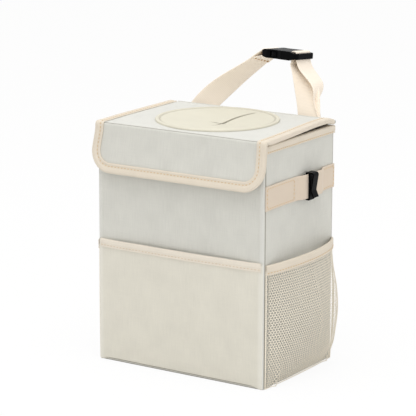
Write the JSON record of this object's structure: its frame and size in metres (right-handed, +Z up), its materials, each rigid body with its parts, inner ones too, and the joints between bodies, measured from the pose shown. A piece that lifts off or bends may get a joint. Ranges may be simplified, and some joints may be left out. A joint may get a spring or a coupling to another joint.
{
  "type": "car trash bin",
  "caption": "Soft-sided car trash bin: boarded fabric box with a hinged lid and front flap, round slit cover, mesh side pockets, webbing bag clips and a buckled hanging strap.",
  "frame": {"origin": "centre of the base, on the ground it stands on", "axes": "+Z up, +X to the right of the front, -Y the front with the flap, +Y the back with the strap"},
  "size_m": [0.2426, 0.1864, 0.3169],
  "materials": {
    "canvas": "pale grey oxford weave",
    "pocket_canvas": "pale beige oxford weave",
    "stiff_board": "plain plastic board",
    "black_lining": "black waterproof film, slightly glossy",
    "binding_tape": "cream herringbone tape",
    "net": "beige knitted mesh",
    "webbing": "cream woven webbing",
    "touch_tape": "cream hook and loop tape",
    "cream_rubber": "soft matte cream moulding",
    "black_plastic": "black moulded plastic, satin"
  },
  "bodies": {
    "bin": {"front_panel": "canvas", "back_panel": "canvas", "left_side_panel": "canvas", "right_side_panel": "canvas", "base_panel": "canvas", "front_board": "stiff_board", "back_board": "stiff_board", "left_side_board": "stiff_board", "right_side_board": "stiff_board", "base_board": "stiff_board", "liner": "black_lining", "rim_binding": "binding_tape", "front_pocket": "pocket_canvas", "front_pocket_binding": "binding_tape", "left_mesh_pocket": "net", "right_mesh_pocket": "net", "left_mesh_binding": "binding_tape", "right_mesh_binding": "binding_tape", "left_side_webbing": "webbing", "right_side_webbing": "webbing", "hinge_strip": "canvas", "loop_tape": "touch_tape", "left_strap": "webbing", "right_strap": "webbing", "female_buckle": "black_plastic"},
    "lid": {"lid_panel": "canvas", "lid_board": "stiff_board", "flap_board": "stiff_board", "lid_lining": "black_lining", "lid_binding": "binding_tape", "slit_cover": "cream_rubber", "hook_tape": "touch_tape"},
    "buckle_male": {"male_buckle": "black_plastic"},
    "left_clip": {"left_bag_clip": "black_plastic"},
    "right_clip": {"right_bag_clip": "black_plastic"}
  },
  "joints": [
    {"name": "lid_hinge", "type": "hinge", "parent": "bin", "child": "lid", "pos_m": [0, 0.06655, 0.25155], "axis": [-1, 0, 0], "range_deg": [0, 95]},
    {"name": "buckle_release", "type": "slide", "parent": "bin", "child": "buckle_male", "axis": [0.9955, -0.0948, -0.0047], "range_m": [0, 0.022], "deforming": ["male_buckle", "right_strap"]},
    {"name": "left_clip_slide", "type": "slide", "parent": "bin", "child": "left_clip", "axis": [0, 1, 0], "range_m": [-0.002, 0.016]},
    {"name": "right_clip_slide", "type": "slide", "parent": "bin", "child": "right_clip", "axis": [0, 1, 0], "range_m": [-0.002, 0.016]}
  ]
}
